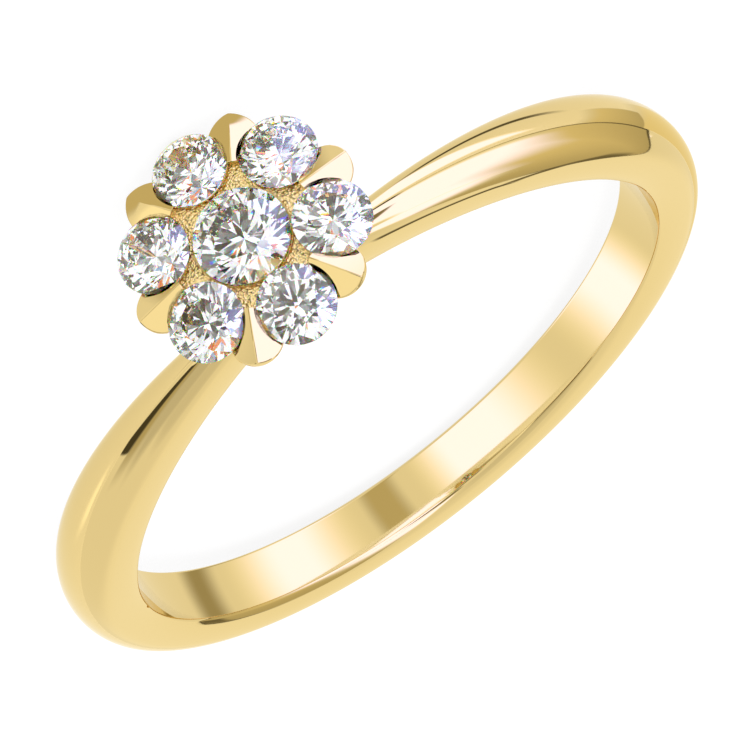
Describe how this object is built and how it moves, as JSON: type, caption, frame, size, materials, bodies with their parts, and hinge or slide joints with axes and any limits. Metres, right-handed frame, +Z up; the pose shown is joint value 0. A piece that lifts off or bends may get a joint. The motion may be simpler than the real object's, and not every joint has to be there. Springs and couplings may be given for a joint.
{
  "type": "zircon cluster ring",
  "caption": "Slim tapered gold finger ring with a flower of clear round stones, held by wedge-topped claws on a small collet.",
  "frame": {"origin": "middle of the ring's footprint, on the surface that it lies on", "axes": "+Z up; +Y from the stones through the finger hole to the back of the shank; +X across the shank"},
  "size_m": [0.0204, 0.0237, 0.0059],
  "materials": {
    "gold": "polished",
    "stone": "polished, faceted"
  },
  "bodies": {
    "root": {"shank_and_setting": "gold", "centre_stone": "stone", "outer_stone_1": "stone", "outer_stone_2": "stone", "outer_stone_3": "stone", "outer_stone_4": "stone", "outer_stone_5": "stone", "outer_stone_6": "stone"}
  },
  "joints": []
}
